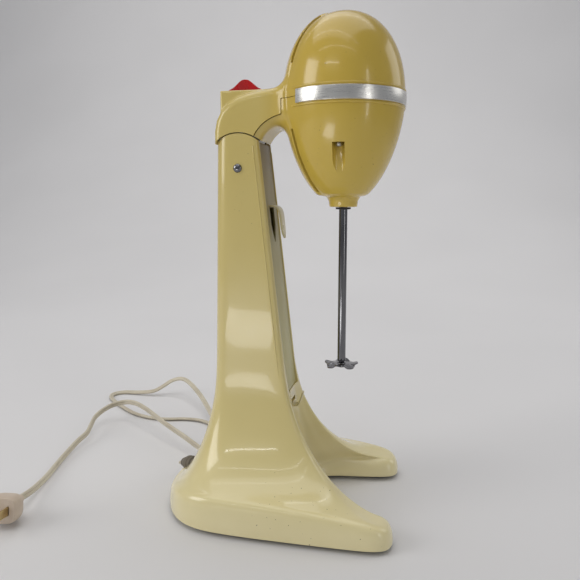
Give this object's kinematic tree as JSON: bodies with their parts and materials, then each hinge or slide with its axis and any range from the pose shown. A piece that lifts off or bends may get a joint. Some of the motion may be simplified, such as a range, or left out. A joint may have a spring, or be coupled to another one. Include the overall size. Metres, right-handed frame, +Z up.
{
  "type": "drink mixer",
  "caption": "Vintage drink mixer: egg-shaped motor head that tilts on a forked stand, with a spinning rod and agitator, a slide switch, a cup hook and a cup rest.",
  "frame": {"origin": "on the floor, under the middle of the mixer's bounding box, not counting the cord and plug", "axes": "+X to the front, where the rod and the two feet are; +Y to the mixer's left; +Z up"},
  "size_m": [0.3454, 0.333, 0.364],
  "materials": {
    "head_enamel": "glossy harvest gold enamel",
    "stand_enamel": "glossy cream gold enamel",
    "panel_enamel": "satin olive cream enamel on sheet steel",
    "brushed_silver": "brushed silver strip",
    "polished_steel": "polished steel",
    "zinc_steel": "dull zinc plated steel",
    "bare_steel": "spring steel",
    "red_plastic": "glossy red plastic",
    "black_rubber": "matte black rubber",
    "black_plastic": "black moulded plastic",
    "nylon": "natural nylon",
    "laminated_iron": "stacked iron laminations",
    "enamelled_copper": "enamelled copper winding",
    "brass": "plain brass",
    "carbon": "pressed carbon",
    "bronze": "sintered bronze",
    "cord_vinyl": "beige vinyl twin cord",
    "gland_vinyl": "grey-brown vinyl",
    "plug_vinyl": "beige vinyl plug"
  },
  "bodies": {
    "stand": {"stand_shell": "stand_enamel", "front_panel": "panel_enamel", "base_plate": "zinc_steel", "foot_pad_fr": "black_rubber", "foot_pad_fl": "black_rubber", "foot_pad_rr": "black_rubber", "foot_pad_rl": "black_rubber", "plate_screw_a": "zinc_steel", "plate_screw_b": "zinc_steel", "plate_screw_c": "zinc_steel", "plate_screw_d": "zinc_steel", "hinge_pin": "polished_steel", "hinge_bushing_r": "nylon", "hinge_bushing_l": "nylon", "tilt_spring": "bare_steel", "tilt_spring_rivet": "zinc_steel", "strain_relief": "gland_vinyl", "inner_lead": "cord_vinyl", "cord_tube": "cord_vinyl", "plug_body": "plug_vinyl", "plug_blade_a": "brass", "plug_blade_b": "brass"},
    "head": {"upper_housing": "head_enamel", "lower_housing": "head_enamel", "trim_band": "brushed_silver", "housing_screw_r": "zinc_steel", "housing_screw_l": "zinc_steel", "tilt_arm": "zinc_steel", "stator_stack": "laminated_iron", "field_coil_front": "enamelled_copper", "field_coil_back": "enamelled_copper", "motor_bracket_top": "zinc_steel", "motor_bracket_bottom": "zinc_steel", "bearing_top": "bronze", "bearing_bottom": "bronze", "brush_r": "carbon", "brush_l": "carbon", "brush_holder_r": "brass", "brush_holder_l": "brass", "brush_spring_r": "bare_steel", "brush_spring_l": "bare_steel", "rod_seal": "black_rubber", "switch_body": "black_plastic"},
    "spindle": {"motor_shaft": "polished_steel", "armature_core": "laminated_iron", "armature_windings": "enamelled_copper", "commutator": "enamelled_copper", "cooling_fan": "black_plastic", "spindle_rod": "polished_steel", "agitator": "polished_steel", "agitator_rivet": "polished_steel"},
    "switch": {"switch_button": "red_plastic"}
  },
  "joints": [
    {"name": "head_tilt", "type": "hinge", "parent": "stand", "child": "head", "pos_m": [-0.0278, 0, 0.2565], "axis": [0, -1, 0], "range_deg": [0, 55]},
    {"name": "spindle_spin", "type": "hinge", "parent": "head", "child": "spindle", "pos_m": [0.046, 0, 0.2], "axis": [0, 0, 1], "continuous": true},
    {"name": "switch_slide", "type": "slide", "parent": "head", "child": "switch", "axis": [1, 0, 0], "range_m": [-0.003, 0.003]}
  ]
}
